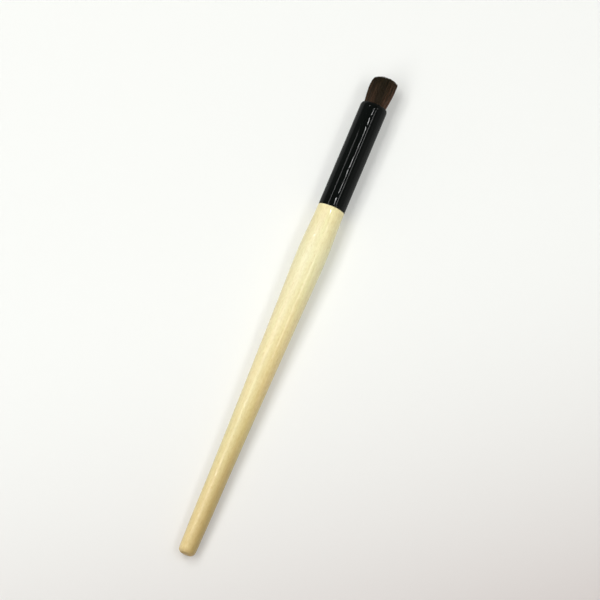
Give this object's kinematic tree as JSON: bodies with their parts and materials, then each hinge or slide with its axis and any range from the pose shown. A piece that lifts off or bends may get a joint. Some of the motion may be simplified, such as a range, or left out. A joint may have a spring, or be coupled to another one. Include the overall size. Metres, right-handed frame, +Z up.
{
  "type": "eye contour brush",
  "caption": "Short domed tuft of dark hair set in a glossy black ferrule on a slim tapered pale wooden handle, for placing and blending powder round the eye.",
  "frame": {"origin": "on the floor that the brush lies on, under the centre of its bounding box", "axes": "+X along the brush from the butt to the hair, +Y across it, +Z up; it lies on its belly and its butt, so its own axis rises by 1.15 degrees towards the hair"},
  "size_m": [0.1652, 0.0096, 0.0102],
  "materials": {
    "pale_wood": "gloss",
    "black_lacquer": "gloss",
    "brown_hair": "matte",
    "binding_thread": "matte",
    "epoxy": "gloss",
    "wood_glue": "satin"
  },
  "bodies": {
    "root": {"handle": "pale_wood", "ferrule": "black_lacquer", "hair_tuft": "brown_hair", "knot_thread": "binding_thread", "epoxy_plug": "epoxy", "tenon_glue": "wood_glue"}
  },
  "joints": []
}
